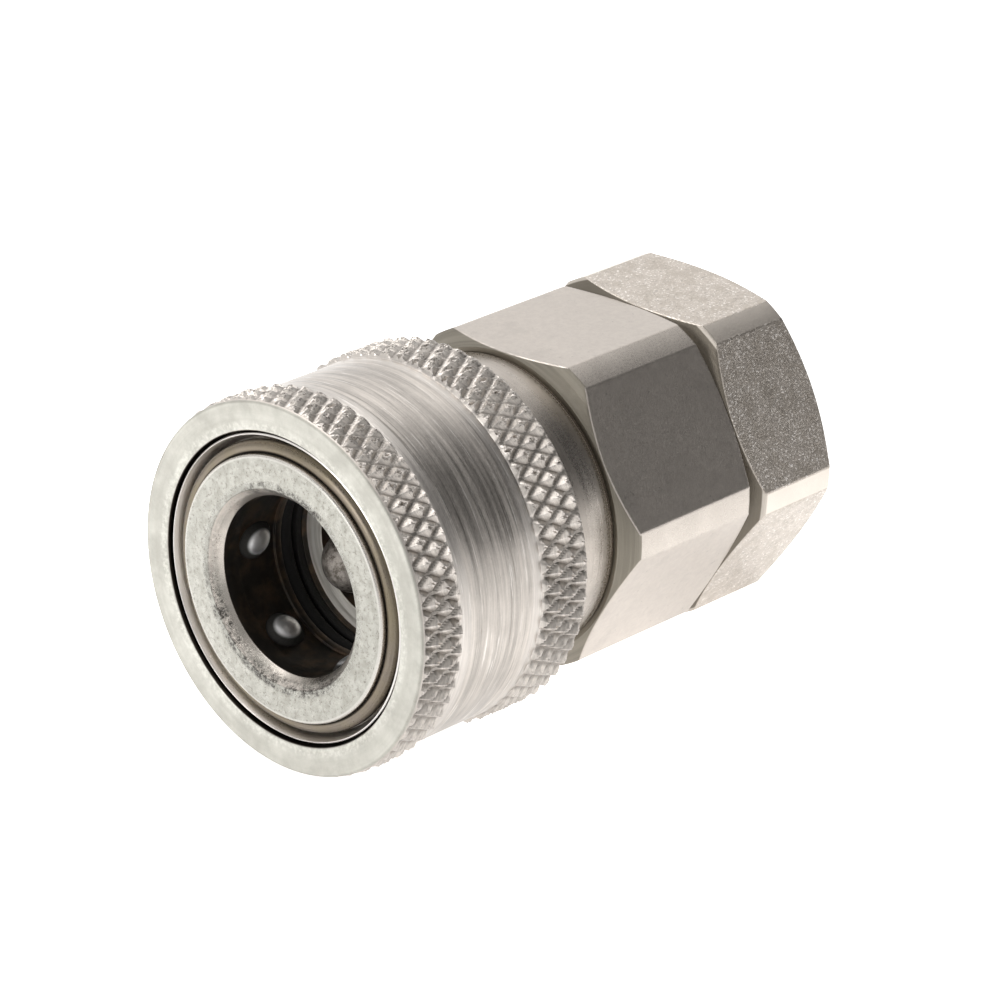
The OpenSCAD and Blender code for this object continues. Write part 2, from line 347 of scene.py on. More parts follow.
def body_mesh():
    """Nose, neck and front hex in one turned piece, with its bore and the six holes for the balls."""
    sharp_angle = 26
    thetas = hex_angles(0, BODY_FLAT_R, BODY_CORNER_R)
    groove_r = SNAP_WIRE_R + 0.02
    groove = [(SNAP_X + groove_r * math.sin(a), SNAP_R - groove_r * math.cos(a), 0)
              for a in np.radians([-58, -40, -20, 0, 20, 40, 58])]
    nose = fillet([
        (0.0, MOUTH_R, 0.06), (0.0, NOSE_R, 0.3), *groove,
        (NECK_START, NOSE_R, 0.1), (NECK_START, NECK_R, 0.2),
        (NECK_END, NECK_R, 0.12), (NECK_END, NECK_R - 0.22, 0.03), (HEX_START, NECK_R - 0.22, 0.03),
    ], 3, closed=False)
    bar = hex_rows(thetas, BODY_FLAT_R, BODY_CORNER_R, 0, HEX_START, BODY_END, 1.04, 0.65)
    inner = fillet([
        (BODY_END, 12.48), (BODY_END, SPIGOT_HOLE_R, 0.15), (SPIGOT_SEAT, SPIGOT_HOLE_R, 0.05),
        (SPIGOT_SEAT, GUIDE_R, 0.05), (GUIDE_SEAT, GUIDE_R, 0.05), (GUIDE_SEAT, CHAMBER_R, 0.05),
        (SEAT_END, CHAMBER_R, 0.05), (SEAT_END, SEAT_MOUTH_R, 0.05), (SEAT_START, SEAT_HOLE_R, 0.05),
        (SHOULDER, SEAT_HOLE_R, 0.08), (SHOULDER, BORE_R, 0.03), (SEAL_END, BORE_R, 0.05),
        (SEAL_END, SEAL_R, 0.05), (SEAL_START, SEAL_R, 0.05), (SEAL_START, BORE_R, 0.05),
        (RELIEF_END, BORE_R, 0.03), (RELIEF_END, RELIEF_R, 0.03), (RELIEF_START, RELIEF_R, 0.03),
        (RELIEF_START, BORE_R, 0.03), (BORE_START, BORE_R, 0.08), (0.42, 7.55, 0.05), (0.0, MOUTH_R, 0.06),
    ], 3, closed=False)[1:-1]
    obj = swept("coupler_body", nose + bar + inner, thetas, sharp_angle)
    cutters = [ball_pocket(k) for k in range(6)]
    for cutter in cutters:
        cut = obj.modifiers.new("pocket", "BOOLEAN")
        cut.operation, cut.object, cut.solver = "DIFFERENCE", cutter, "MANIFOLD"
    apply_modifiers(obj)
    for cutter in cutters:
        bpy.data.objects.remove(cutter)
    obj.data.polygons.foreach_set("use_smooth", [True] * len(obj.data.polygons))
    obj.data.set_sharp_from_angle(angle=math.radians(sharp_angle))
    return obj


def ball_pocket(k):
    """The round-bottomed hole of one ball, pointing out of the nose."""
    low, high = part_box(f"ball_{k + 1}")
    centre = (low + high) / 2 / MM
    radius = (high.x - low.x) / 2 / MM + 0.05
    depth, count = 4.0, 48
    profile = [(radius * math.sin(a), -radius * math.cos(a)) for a in np.linspace(0, math.pi / 2, 12)]
    profile.append((radius, depth))
    verts = []
    for r, h in profile[1:]:
        verts += [(r * math.cos(TAU * i / count), r * math.sin(TAU * i / count), h) for i in range(count)]
    bottom, top = len(verts), len(verts) + 1
    verts += [(0, 0, -radius), (0, 0, depth)]
    faces = [(bottom, (i + 1) % count, i) for i in range(count)]
    for j in range(len(profile) - 2):
        p, q = j * count, (j + 1) * count
        faces += [(p + i, p + (i + 1) % count, q + (i + 1) % count, q + i) for i in range(count)]
    last = (len(profile) - 2) * count
    faces += [(last + i, last + (i + 1) % count, top) for i in range(count)]
    outward = math.atan2(centre.z, centre.y)
    turn = Matrix.Rotation(outward, 3, "X") @ Matrix.Rotation(-math.pi / 2, 3, "X")
    verts = np.array(verts) @ np.array(turn).T + np.array(centre)
    return make_object(f"pocket_{k}", verts, faces)


def apply_modifiers(obj):
    """Gives an object the mesh that its modifiers make."""
    bpy.context.view_layer.update()
    graph = bpy.context.evaluated_depsgraph_get()
    mesh = bpy.data.meshes.new_from_object(obj.evaluated_get(graph))
    obj.modifiers.clear()
    obj.data = mesh


body = body_mesh()
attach(body, "core")
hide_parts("body")


def thread_rows(thetas, start, end):
    """Rows of a right-hand internal thread from the mouth at start in to its end."""
    made = []
    for x in np.arange(start, end, -THREAD_PITCH / 12):
        u = (x / THREAD_PITCH - thetas / TAU) % 1
        tooth = np.clip((1 - np.abs(2 * u - 1)) * 1.35 - 0.17, 0, 1)
        tooth = 0.5 - 0.5 * np.cos(math.pi * tooth)
        fade = smoothstep(end + 0.6, end + 2.2, x)
        r = THREAD_MINOR + (THREAD_MAJOR - THREAD_MINOR) * tooth * fade
        chamfer = 6.77 - (PORT_FACE - x)
        made.append((x, -smooth_min(-r, np.full(len(thetas), -chamfer), 0.06)))
    return made


def adapter_mesh():
    """Spigot and rear hex in one piece, with the flow passage and the threaded port."""
    thetas = hex_angles(ADAPTER_TURN, ADAPTER_FLAT_R, ADAPTER_CORNER_R)
    spigot = fillet([
        (SPIGOT_START, FLOW_MOUTH_R, 0.1), (SPIGOT_START, SPIGOT_R - 0.4, 0.1),
        (SPIGOT_START + 0.4, SPIGOT_R, 0.1),
        (JOINT_SEAL_START, SPIGOT_R, 0.05), (JOINT_SEAL_START, JOINT_SEAL_R, 0.05),
        (JOINT_SEAL_END, JOINT_SEAL_R, 0.05), (JOINT_SEAL_END, SPIGOT_R, 0.05),
        (BODY_END - 0.01, SPIGOT_R, 0.0),
    ], 3, closed=False)
    bar = hex_rows(thetas, ADAPTER_FLAT_R, ADAPTER_CORNER_R, ADAPTER_TURN, BODY_END, PORT_FACE, 1.05, 0.95)
    port = thread_rows(thetas, PORT_FACE - 0.04, PORT_BOTTOM)
    inner = fillet([
        (PORT_BOTTOM, THREAD_MINOR, 0.05), (PORT_BOTTOM, FLOW_R, 0.1), (33.0, FLOW_R, 0.2),
        (31.0, FLOW_MOUTH_R, 0.1), (SPIGOT_START, FLOW_MOUTH_R, 0.1),
    ], 3, closed=False)[:-1]
    return swept("coupler_adapter", spigot + bar + [(PORT_FACE, PORT_MOUTH_R)] + port + inner, thetas, 26)


adapter = adapter_mesh()
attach(adapter, "core")
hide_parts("adapter")


# ---------------------------------------------------------------- small pieces

def piece(obj, node_name, body_name):
    """Makes an object ride a body in the place of a CAD node."""
    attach(obj, body_name)
    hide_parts(node_name)
    return obj


def snap_ring_mesh():
    """Round wire with a split gap."""
    angles = np.radians(np.linspace(-19, 339, 260))
    x = np.full(len(angles), FRONT + SNAP_X)
    path = np.stack([x, SNAP_R * np.cos(angles), SNAP_R * np.sin(angles)], 1)
    return tube_along("coupler_snap_ring", path, SNAP_WIRE_R, 24)


def stop_collar_mesh():
    """A cupped ring that traps the snap ring."""
    outer_r, back = 12.2, 1.9
    return turned("coupler_stop_collar", [
        (1.69, 11.6, 0.12), (1.69, SNAP_R, 0.02), (1.65, 10.6, 0.02), (back, 10.62, 0.05),
        (back, outer_r, 0.05), (0.4, outer_r, 0.05), (0.3, 12.05, 0.04),
    ], 240)


def poppet_mesh():
    """Domed nose, conical seat held a little off the body's, head, and stem."""
    nose_x, nose_r, head_r, head_end, stem_r, stem_end = 7.7, 2.45, 6.95, 14.2, 1.9, 31.5
    seat_dx, seat_dr, seat_gap = SEAT_END - SEAT_START, SEAT_MOUTH_R - SEAT_HOLE_R, 0.2
    slant = math.hypot(seat_dr, seat_dx)
    back, inward = seat_dr / slant * seat_gap, seat_dx / slant * seat_gap
    cone_x, cone_r = SEAT_START + back, SEAT_HOLE_R - inward
    dome = [(nose_x - nose_r * math.cos(a), nose_r * math.sin(a), 0) for a in np.linspace(0, math.pi / 2, 14)]
    return turned("coupler_poppet", dome + [
        (cone_x, nose_r, 0.2), (cone_x, cone_r, 0.05), (SEAT_END + back, SEAT_MOUTH_R - inward, 0.05),
        (SEAT_END + back + 0.4, head_r, 0.05), (head_end, head_r, 0.1), (head_end, 3.6, 0.05),
        (15.4, 3.6, 0.1), (15.8, stem_r, 0.1), (stem_end, stem_r, 0.2), (stem_end, 0, 0),
    ], 128)


snap_ring = piece(snap_ring_mesh(), "snap_ring", "core")
stop_collar = piece(stop_collar_mesh(), "stop_collar", "core")
poppet = piece(poppet_mesh(), "poppet", "poppet")


def helix(name, start, end, pitch_r, wire_d, turns, per_turn=64):
    """A compression spring whose end turns lie nearly flat."""
    closed = 0.75
    t = np.linspace(0, turns, int(turns * per_turn) + 1)
    rise = wire_d * 0.9
    lead = np.clip(t - closed, 0, turns - 2 * closed) / (turns - 2 * closed)
    x = start + wire_d / 2 + rise * np.clip(t / closed, 0, 1)
    x += rise * np.clip((t - turns + closed) / closed, 0, 1)
    x += lead * (end - start - wire_d - 2 * rise)
    path = np.stack([FRONT + x, pitch_r * np.cos(TAU * t), pitch_r * np.sin(TAU * t)], 1)
    return tube_along(name, path, wire_d / 2, 16)


def spring(node_name, pitch_r, wire_d, turns):
    """A coil spring as long as its CAD node, riding the core."""
    low, high = (c.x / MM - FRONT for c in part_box(node_name))
    coil = helix(f"coupler_{node_name}", low, high, pitch_r, wire_d, turns)
    obj = piece(coil, node_name, "core")
    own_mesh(obj)
    return obj


sleeve_spring = spring("sleeve_spring", 11.35, 1.1, 4.5)
valve_spring = spring("valve_spring", 5.0, 0.9, 7)


# ---------------------------------------------------------------- node tools

class Nodes:
    """Short names for building a node tree that ends in one shader."""

    def __init__(self, tree, shader, output):
        self.tree = tree
        self.tree.nodes.clear()
        self.shader = self.add(shader)
        out = self.add(output)
        self.link(self.shader.outputs[0], out.inputs[0])

    def add(self, kind, **values):
        made = self.tree.nodes.new(kind)
        for key, value in values.items():
            setattr(made, key, value)
        return made

    def link(self, a, b):
        self.tree.links.new(a, b)

    def put(self, socket, value):
        """Sets a socket to a number or colour, or links another node's output to it."""
        if hasattr(value, "is_output"):
            self.link(value, socket)
        else:
            socket.default_value = value

    def math(self, op, a, b=0.0, clamp=False):
        made = self.add("ShaderNodeMath", operation=op, use_clamp=clamp)
        self.put(made.inputs[0], a)
        self.put(made.inputs[1], b)
        return made.outputs[0]

    def plus(self, a, b):
        return self.math("ADD", a, b)

    def minus(self, a, b):
        return self.math("SUBTRACT", a, b)

    def over(self, a, b):
        return self.math("DIVIDE", a, b)

    def times(self, first, *others):
        for other in others:
            first = self.math("MULTIPLY", first, other)
        return first

    def outside_of(self, mask):
        """1 where a mask is 0."""
        return self.minus(1.0, mask)

    def dot(self, a, b):
        made = self.add("ShaderNodeVectorMath", operation="DOT_PRODUCT")
        self.put(made.inputs[0], a)
        self.put(made.inputs[1], b)
        return made.outputs["Value"]

    def ramp(self, value, low, high, to_low=0.0, to_high=1.0):
        """to_low below low and to_high above high, with a soft change between. Low may be the larger."""
        made = self.add("ShaderNodeMapRange", interpolation_type="SMOOTHSTEP")
        for k, v in enumerate((value, low, high, to_low, to_high)):
            self.put(made.inputs[k], v)
        return made.outputs[0]

    def below(self, value, low, high):
        """1 below low and 0 above high."""
        return self.ramp(value, low, high, 1.0, 0.0)

    def band(self, value, low, high, soft=0.05):
        """1 where low < value < high."""
        return self.times(self.ramp(value, low - soft, low + soft),
                          self.below(value, high - soft, high + soft))

    def mix(self, factor, a, b):
        made = self.add("ShaderNodeMix", data_type="RGBA", blend_type="MIX")
        self.put(made.inputs[0], factor)
        self.put(made.inputs[6], a)
        self.put(made.inputs[7], b)
        return made.outputs[2]

    def noise(self, vector, scale, detail=3.0, rough=0.55):
        made = self.add("ShaderNodeTexNoise")
        self.put(made.inputs["Vector"], vector)
        self.put(made.inputs["Scale"], scale)
        self.put(made.inputs["Detail"], detail)
        self.put(made.inputs["Roughness"], rough)
        return made.outputs[0]

    def combine(self, x, y, z):
        made = self.add("ShaderNodeCombineXYZ")
        for k, v in enumerate((x, y, z)):
            self.put(made.inputs[k], v)
        return made.outputs[0]

    def bump(self, height, strength, distance):
        made = self.add("ShaderNodeBump")
        self.put(made.inputs["Strength"], strength)
        self.put(made.inputs["Distance"], distance)
        self.put(made.inputs["Height"], height)
        return made.outputs[0]

    def place(self):
        """Object position in mm: x behind the front face, y, z, and the radius from the axis."""
        split = self.add("ShaderNodeSeparateXYZ")
        self.link(self.add("ShaderNodeTexCoord").outputs["Object"], split.inputs[0])
        x = self.minus(self.over(split.outputs[0], MM), FRONT)
        y = self.over(split.outputs[1], MM)
        z = self.over(split.outputs[2], MM)
        r = self.math("SQRT", self.plus(self.times(y, y), self.times(z, z)))
        return x, y, z, r

    def edge(self, radius):
        """0 on flat ground, rising to 1 at an edge."""
        bevel = self.add("ShaderNodeBevel", samples=4)
        self.put(bevel.inputs["Radius"], radius)
        normal = self.add("ShaderNodeNewGeometry").outputs["Normal"]
        return self.ramp(self.dot(bevel.outputs[0], normal), 0.999, 0.93)


def new_material(name):
    """An empty material and the nodes to build it with."""
    material = bpy.data.materials.new(name)
    material.use_nodes = True
    return material, Nodes(material.node_tree, "ShaderNodeBsdfPrincipled", "ShaderNodeOutputMaterial")


def grey(value, warm=0.0):
    return (value * (1 + warm), value, value * (1 - warm), 1)


# ---------------------------------------------------------------- materials

class Metal:
    """Machined steel: turned lines round X, clouding, specks and worn edges.

    lines, mottle and wear are the strengths of the turned lines, the grain and the bright edges. flats is the
    radius and turn of a hex bar, whose flats and corners have no turned lines.
    """

    def __init__(self, name, light, dark, rough, lines=0.5, mottle=0.0, tint=0.09, wear=0.4, flats=None):
        self.material, n = new_material(name)
        self.n = n
        self.x, self.y, self.z, self.r = n.place()
        self.plain = n.combine(self.x, self.y, self.z)
        away = n.math("MAXIMUM", self.r, 0.01)
        self.turned = n.combine(n.plus(self.x, n.times(self.r, 1.37)), n.times(n.over(self.y, away), 0.45),
                                n.times(n.over(self.z, away), 0.45))
        self.fine = n.ramp(n.noise(self.turned, 8.0, 3.0, 0.65), 0.3, 0.7)
        self.coarse = n.ramp(n.noise(self.turned, 1.7, 3.0, 0.6), 0.32, 0.68)
        self.cloud = self.patches(0.3, 4.0, 0.6, 0.3, 0.7)
        self.grain = self.patches(7.0, 3.0, 0.65, 0.28, 0.72)
        self.flat, turning = self.bar_masks(*flats) if flats else (0.0, 1.0)
        streak = n.times(turning, lines)
        speck = n.times(self.patches(4.6, 4.0, 0.7, 0.64, 0.72), n.minus(0.3, n.times(self.flat, 0.25)))
        edge = n.edge(0.0001)

        clouding = n.minus(0.35, n.times(self.flat, 0.22))
        tone = n.plus(n.times(n.minus(self.cloud, 0.5), clouding), 0.5)
        tone = n.plus(tone, n.times(n.minus(self.fine, 0.5), streak))
        tone = n.plus(tone, n.times(n.minus(self.coarse, 0.5), streak))
        tone = n.math("ADD", tone, n.times(n.minus(self.grain, 0.5), 0.2 + mottle), clamp=True)
        self.colour = n.mix(tone, grey(dark, tint), grey(light, tint))
        self.tint(speck, 1.0, grey(dark * 0.5, tint))
        self.tint(edge, wear, grey(min(1, light * 1.2), tint * 0.5))

        self.roughness = n.plus(rough, n.times(n.minus(self.grain, 0.5), 0.1))
        self.roughen(n.minus(self.coarse, 0.5), n.times(turning, 0.1))
        self.roughen(self.flat, 0.05)
        self.roughen(edge, -0.06)
        self.height = n.plus(n.times(self.fine, streak), n.times(self.coarse, streak))
        self.lift(self.grain, 0.25 + mottle)

    def bar_masks(self, flat_r, turn):
        """The flats of a hex bar, and where it is turned round: neither flat nor corner."""
        n, reach = self.n, None
        for k in range(3):
            across = n.math("ABSOLUTE", self.along(90 + turn + 60 * k))
            reach = across if reach is None else n.math("MAXIMUM", reach, across)
        flat = n.ramp(reach, flat_r - 0.08, flat_r - 0.03)
        corner = n.ramp(self.r, flat_r * 1.085, flat_r * 1.095)
        return flat, n.outside_of(n.times(n.math("MAXIMUM", flat, corner), 0.92))

    def along(self, degrees):
        """Distance from the axis in a direction round X, where 90 degrees is up."""
        t = math.radians(degrees)
        return self.n.plus(self.n.times(self.y, math.cos(t)), self.n.times(self.z, math.sin(t)))

    def facing(self, degrees, low, high):
        """1 on the side of the object that looks this way round X."""
        return self.n.ramp(self.n.over(self.along(degrees), self.n.math("MAXIMUM", self.r, 0.01)), low, high)

    def patches(self, scale, detail, rough, low, high):
        """A mask of cloudy patches, or of specks where the scale is large."""
        return self.n.ramp(self.n.noise(self.plain, scale, detail, rough), low, high)

    def tint(self, mask, strength, colour):
        self.colour = self.n.mix(self.n.times(mask, strength), self.colour, colour)

    def roughen(self, mask, amount):
        self.roughness = self.n.plus(self.roughness, self.n.times(mask, amount))

    def lift(self, mask, amount):
        """Raises the surface, or lowers it where the amount is negative."""
        self.height = self.n.plus(self.height, self.n.times(mask, amount))

    def finish(self):
        n, inputs = self.n, self.n.shader.inputs
        n.put(inputs["Metallic"], 1.0)
        n.put(inputs["Base Color"], self.colour)
        n.put(inputs["Roughness"], n.math("MAXIMUM", self.roughness, 0.08))
        n.put(inputs["Normal"], n.bump(self.height, 0.6, 0.000012))
        return self.material


def sleeve_steel():
    m = Metal("sleeve_steel", 0.62, 0.38, 0.38, lines=0.6, tint=0.085, wear=0.3)
    n, x, r = m.n, m.x, m.r

    # The front face is patchy, with a speckled inner rim and scuffs.
    face = n.times(n.below(x, 0.06, 0.22), n.ramp(r, SLEEVE_MOUTH_R - 0.1, SLEEVE_MOUTH_R))
    rim = n.times(n.below(r, 12.9, 13.35), face)
    tone = n.mix(m.patches(0.42, 5.0, 0.62, 0.3, 0.7), (0.39, 0.38, 0.34, 1), (0.53, 0.52, 0.47, 1))
    tone = n.mix(n.times(m.coarse, 0.25), tone, (0.37, 0.36, 0.32, 1))
    speckle = n.ramp(n.noise(m.plain, 2.2, 4.0, 0.7), 0.4, 0.66, 0.0, 0.55)
    tone = n.mix(n.times(rim, speckle), tone, (0.68, 0.67, 0.61, 1))
    tone = n.mix(n.times(m.patches(2.4, 4.0, 0.75, 0.6, 0.72), 0.2), tone, (0.2, 0.19, 0.15, 1))
    m.tint(face, 0.94, tone)
    m.roughen(face, 0.06)
    m.roughen(n.times(n.below(x, 0.3, 0.5), n.ramp(r, BAND_R, BAND_R + 0.1)), 0.2)
    m.lift(n.times(n.noise(m.plain, 1.5, 3.0, 0.6), n.plus(n.times(rim, 2.0), face)), 1.6)

    # The knurls' valleys are painted darker, as painted shade in the grooves, and their tips are crumbled,
    # most of all on top.
    knurl = n.times(n.plus(n.band(x, 0.3, 4.15), n.band(x, 13.3, 18.0)), n.ramp(r, 14.0, 14.2))
    m.tint(n.times(n.below(r, BAND_R, BAND_R + 0.22), knurl), 0.6, grey(0.16, 0.12))
    tips = n.times(n.ramp(r, KNURL_R - 0.28, KNURL_R - 0.12), knurl)
    torn = n.plus(n.times(m.facing(90, 0.25, 0.85), 0.75), 0.25)
    crumbs = n.times(m.patches(5.5, 2.0, 0.6, 0.5, 0.64), torn)
    m.tint(n.times(tips, crumbs), 0.75, grey(0.13, 0.13))
    m.lift(n.times(knurl, m.grain), 1.6)
    m.lift(n.times(tips, crumbs), -3.0)

    # The band is bright along both edges, darker in the middle, scratched and scored.
    outer = n.ramp(r, BAND_R - 0.2, BAND_R - 0.1)
    m.tint(n.plus(n.band(x, 4.3, 5.4, 0.15), n.band(x, 12.1, 13.1, 0.15)), 0.4, grey(0.62, 0.06))
    m.tint(n.times(n.band(x, 6.0, 11.6, 1.0), outer), 0.15, grey(0.25, 0.1))
    band = n.times(n.band(x, 4.5, 13.0), outer)
    m.tint(n.times(n.ramp(n.noise(m.turned, 4.6, 4.0, 0.7), 0.58, 0.66), band), 0.55, grey(0.92, 0.05))
    m.tint(n.times(n.ramp(n.noise(m.turned, 3.4, 4.0, 0.75), 0.42, 0.34), band), 0.5, grey(0.2, 0.12))
    # Painted shade: the sleeve's bore, inside its mouth and behind it, is painted near black.
    m.tint(n.below(r, SLEEVE_MOUTH_R + 0.01, SLEEVE_MOUTH_R + 0.06), 0.95, (0.035, 0.025, 0.018, 1))
    return m.finish()


def body_steel():
    m = Metal("body_steel", 0.61, 0.45, 0.30, lines=0.45, tint=0.10, wear=0.04, flats=(BODY_FLAT_R, 0))
    n, x, r = m.n, m.x, m.r

    # The bore is painted near black as far as the shoulder. The turned shoulder is painted bright, as painted
    # light standing in for light that reaches deep into the bore.
    wall = n.times(n.below(r, BORE_R + 0.25, 7.75), n.ramp(x, BORE_START - 0.05, BORE_START + 0.1))
    deep = n.times(n.below(r, 9.3, 9.6), n.ramp(x, 1.3, 1.7))
    shoulder = n.times(n.band(r, SEAT_HOLE_R - 0.1, BORE_R - 0.03, 0.03),
                       n.band(x, SHOULDER - 0.07, SHOULDER + 0.1, 0.02))
    dark = n.times(n.math("MAXIMUM", wall, deep), n.outside_of(shoulder))
    m.tint(dark, 0.97, n.mix(m.patches(0.5, 3.0, 0.55, 0.4, 0.7), grey(0.04, 0.1), (0.13, 0.09, 0.06, 1)))
    # Painted light: the shoulder's turned rings and its outer edge are brighter than the steel round them.
    ringed = n.mix(m.coarse, (0.66, 0.63, 0.56, 1), (0.95, 0.92, 0.86, 1))
    m.tint(shoulder, 0.95, n.mix(n.ramp(r, 6.92, 7.04), ringed, grey(0.8, 0.05)))
    m.roughen(shoulder, 0.2)
    m.roughen(dark, 0.12)

    # The nose's face is mottled and flecked, with a paler ring at its edge.
    nose = n.times(n.band(r, MOUTH_R - 0.05, NOSE_R - 0.13), n.below(x, 0.05, 0.2))
    tone = n.mix(m.patches(1.1, 4.0, 0.65, 0.34, 0.66), (0.31, 0.305, 0.27, 1), (0.425, 0.42, 0.38, 1))
    tone = n.mix(n.times(m.patches(3.0, 5.0, 0.8, 0.53, 0.61), 0.6), tone, (0.11, 0.1, 0.085, 1))
    m.tint(nose, 0.9, tone)
    m.tint(n.times(n.band(r, 10.3, NOSE_R - 0.02, 0.05), n.below(x, 0.3, 0.45)), 0.7, (0.56, 0.54, 0.50, 1))
    m.lift(n.times(n.noise(m.plain, 1.5, 3.0, 0.6), nose), 2.0)

    # Soot gathers on the socket's lip, low down and a little on top.
    lip = n.times(n.band(r, 7.45, 8.45, 0.2), n.below(x, 0.55, 0.9))
    sooty_side = n.math("MAXIMUM", m.facing(-75, 0.1, 0.95), m.facing(95, 0.75, 1.0))
    dirt = m.patches(0.7, 5.0, 0.75, 0.58, 0.42)
    spots = m.patches(3.2, 5.0, 0.8, 0.44, 0.54)
    soot = n.math("MULTIPLY", n.plus(n.times(sooty_side, 1.3), 0.15), dirt, clamp=True)
    m.tint(n.times(lip, soot, n.plus(n.times(spots, 0.7), 0.3)), 0.95, grey(0.05, 0.1))
    m.lift(n.times(lip, spots), 2.0)
    lead_in = n.times(n.band(r, BORE_R, 7.8, 0.08), n.band(x, 0.05, BORE_START, 0.05))
    m.tint(n.times(lead_in, m.fine), 0.6, (0.28, 0.27, 0.24, 1))

    # Painted shade: both chamfers of the hex, the neck behind the sleeve and the groove behind the neck are
    # painted dark, the neck in cloudy patches. A painted highlight runs round the neck's rear edge.
    turned_only = n.outside_of(m.flat)
    cone = n.times(n.band(x, HEX_START - 0.1, 24.9), turned_only, n.ramp(r, 11.95, 12.05))
    m.tint(cone, 0.88, n.mix(m.coarse, (0.15, 0.135, 0.105, 1), (0.23, 0.21, 0.17, 1)))
    m.roughen(cone, 0.14)
    rear = n.times(n.ramp(x, BODY_END - 0.8, BODY_END - 0.7), turned_only, n.ramp(r, 12.2, 12.3))
    m.tint(rear, 0.7, (0.16, 0.14, 0.11, 1))
    m.tint(n.band(x, 18.0, NECK_END - 0.2), 0.45, n.mix(m.cloud, grey(0.26, 0.12), grey(0.40, 0.11)))
    m.tint(n.band(x, NECK_END - 0.16, NECK_END, 0.03), 0.5, grey(0.75, 0.06))
    groove = n.times(n.band(x, NECK_END - 0.01, HEX_START + 0.03, 0.02), n.below(r, 11.88, 11.94))
    m.tint(groove, 0.9, (0.06, 0.045, 0.03, 1))

    # The flats are smudged, mottled and pitted.
    m.tint(n.times(m.patches(0.35, 4.0, 0.65, 0.56, 0.66), m.flat), 0.16, grey(0.3, 0.09))
    m.tint(n.times(m.patches(1.9, 5.0, 0.75, 0.36, 0.64), m.flat), 0.2, (0.36, 0.31, 0.29, 1))
    m.tint(n.times(m.patches(2.3, 4.0, 0.7, 0.64, 0.70), m.flat), 0.4, grey(0.17, 0.1))
    return m.finish()


def bar_steel():
    m = Metal("bar_steel", 0.62, 0.42, 0.34, lines=0.4, mottle=0.2, tint=0.11, wear=0.05,
              flats=(ADAPTER_FLAT_R, ADAPTER_TURN))
    n, x, r = m.n, m.x, m.r

    # The flats keep the drawn bar's skin, with dips and brown patches, and painted glints: bright specks that
    # stand in for highlights.
    dips = n.times(m.patches(3.6, 3.0, 0.65, 0.46, 0.34), m.flat)
    m.tint(dips, 0.4, grey(0.2, 0.12))
    skin = n.times(m.patches(0.8, 5.0, 0.7, 0.42, 0.62), m.flat)
    m.tint(skin, 0.35, (0.36, 0.31, 0.25, 1))
    painted_glints = n.times(m.patches(5.2, 2.0, 0.6, 0.58, 0.65), n.outside_of(n.times(skin, 0.6)), m.flat)
    m.tint(painted_glints, 0.7, grey(0.97, 0.04))
    m.lift(painted_glints, 1.6)
    m.lift(dips, -1.2)

    # Painted shade: the front chamfer, in the groove between the two hexes, is painted dark. The corners are
    # paler, partly as turned metal and partly as painted light, and the port is dull.
    turned_only = n.outside_of(m.flat)
    cone = n.times(n.band(x, BODY_END - 0.05, BODY_END + 1.25), turned_only, n.ramp(r, 12.2, 12.4))
    m.tint(cone, 0.88, (0.11, 0.095, 0.072, 1))
    m.roughen(cone, 0.12)
    m.tint(n.times(n.ramp(r, 13.85, 13.95), turned_only), 0.5, (0.85, 0.78, 0.70, 1))
    m.tint(n.times(n.below(r, 7.0, 7.3), n.below(x, 47.6, 47.9)), 0.35, grey(0.3, 0.1))
    return m.finish()


def collar_steel():
    m = Metal("collar_steel", 0.78, 0.62, 0.36, lines=0.6, tint=0.05)
    # Painted shade: the cup is darker on its inner side next to the snap ring, and near black round its outer
    # edge, in the gap inside the sleeve's mouth.
    m.tint(m.n.below(m.r, 11.0, 11.4), 0.5, (0.2, 0.18, 0.15, 1))
    m.tint(m.n.ramp(m.r, 12.16, 12.19), 0.9, (0.04, 0.03, 0.02, 1))
    return m.finish()


def ring_steel():
    """Browned wire, with painted shade: black where it lies in its groove and darker on its outer side."""
    m = Metal("ring_steel", 0.21, 0.13, 0.34, lines=0.5, mottle=0.2, tint=0.18, wear=0.0)
    m.tint(m.cloud, 0.6, (0.165, 0.14, 0.085, 1))
    # Painted shade in the groove and on the wire's outer side.
    m.tint(m.n.below(m.r, NOSE_R + 0.1, NOSE_R + 0.24), 0.97, (0.012, 0.01, 0.007, 1))
    m.tint(m.n.ramp(m.r, 11.3, 11.45), 0.6, (0.08, 0.07, 0.05, 1))
    return m.finish()


def ball_steel():
    """Polished, with painted shade: near black where the ball meets the edge of its hole."""
    m = Metal("ball_steel", 0.97, 0.86, 0.42, lines=0.0, tint=0.0, wear=0.0)
    rim_shade = m.n.ramp(m.r, 6.7, 6.98)
    m.tint(rim_shade, 0.95, (0.02, 0.017, 0.013, 1))
    m.roughen(rim_shade, 0.45)
    return m.finish()


def poppet_steel():
    m = Metal("poppet_steel", 0.27, 0.14, 0.55, lines=0.4, mottle=0.5, tint=0.1, wear=0.1)
    blotches = m.patches(1.3, 5.0, 0.72, 0.44, 0.6)
    m.tint(blotches, 0.75, (0.06, 0.05, 0.038, 1))
    m.lift(blotches, 2.0)
    return m.finish()


def polymer(name, colour, rough, grain_size):
    """A dull seal material with a slight cloud and grain."""
    material, n = new_material(name)
    x, y, z, _ = n.place()
    plain = n.combine(x, y, z)
    grain = n.noise(plain, grain_size, 3.0)
    low = tuple(c * 0.7 for c in colour[:3]) + (1,)
    n.put(n.shader.inputs["Base Color"], n.mix(n.noise(plain, 0.8, 4.0), low, colour))
    n.put(n.shader.inputs["Roughness"], n.ramp(grain, 0.3, 0.7, rough - 0.08, rough + 0.08))
    n.put(n.shader.inputs["Normal"], n.bump(grain, 0.3, 0.00002))
    return material


def paint(material, *objects):
    """Gives whole objects one material."""
    for obj in objects:
        if obj.material_slots:
            for slot in obj.material_slots:
                slot.material = material
        else:
            obj.data.materials.append(material)


